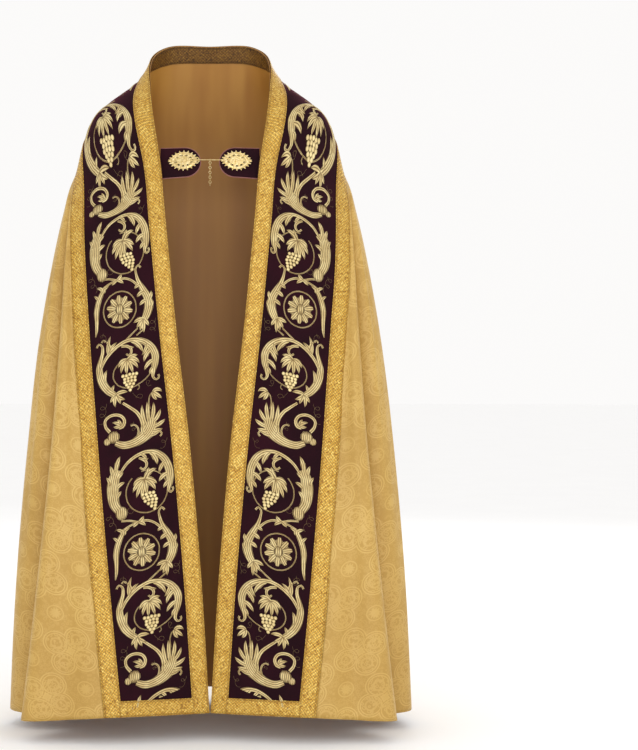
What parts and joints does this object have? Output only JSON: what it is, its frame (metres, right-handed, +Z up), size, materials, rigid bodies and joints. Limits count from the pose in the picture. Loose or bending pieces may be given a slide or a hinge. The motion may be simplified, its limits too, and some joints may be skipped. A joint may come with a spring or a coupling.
{
  "type": "cope vestment",
  "caption": "Open floor-length damask cope with embroidered velvet orphreys, galloons, a fringed velvet hood on the back and a filigree clasp, in its hollow worn form.",
  "frame": {"origin": "the middle of the neck, level with the sides of the neck, where the wearer's neck and shoulders hold the cope", "axes": "+Z up along the fall of the cloth, -Y out of the front opening, +X to the right seen from the front"},
  "size_m": [0.8331, 0.4689, 1.4087],
  "materials": {
    "damask": "gold floral damask, satin figure on a duller ground",
    "satin": "plain brown-gold satin lining",
    "velvet": "deep burgundy cut velvet",
    "braid": "woven gold galloon, lozenge weave",
    "gold_thread": "twisted gold thread, in fringe and embroidery",
    "gilt": "pale gilt filigree and wire"
  },
  "bodies": {
    "cope": {"mantle": "damask", "lining": "satin", "orphrey": "velvet", "galloon_inner": "braid", "galloon_outer": "braid", "galloon_foot_left": "braid", "galloon_foot_right": "braid", "galloon_yoke": "braid", "galloon_neck": "braid", "hood": "velvet", "galloon_hood": "braid", "fringe": "gold_thread", "tab_left": "velvet", "tab_right": "velvet", "medallion_left": "gilt", "medallion_right": "gilt", "hook": "gilt", "eye": "gilt"},
    "chain": {"chain": "gilt"}
  },
  "joints": [
    {"name": "chain_swing", "type": "hinge", "parent": "cope", "child": "chain", "pos_m": [0, -0.132, -0.21588], "axis": [1, 0, 0], "range_deg": [-60, 45]}
  ]
}
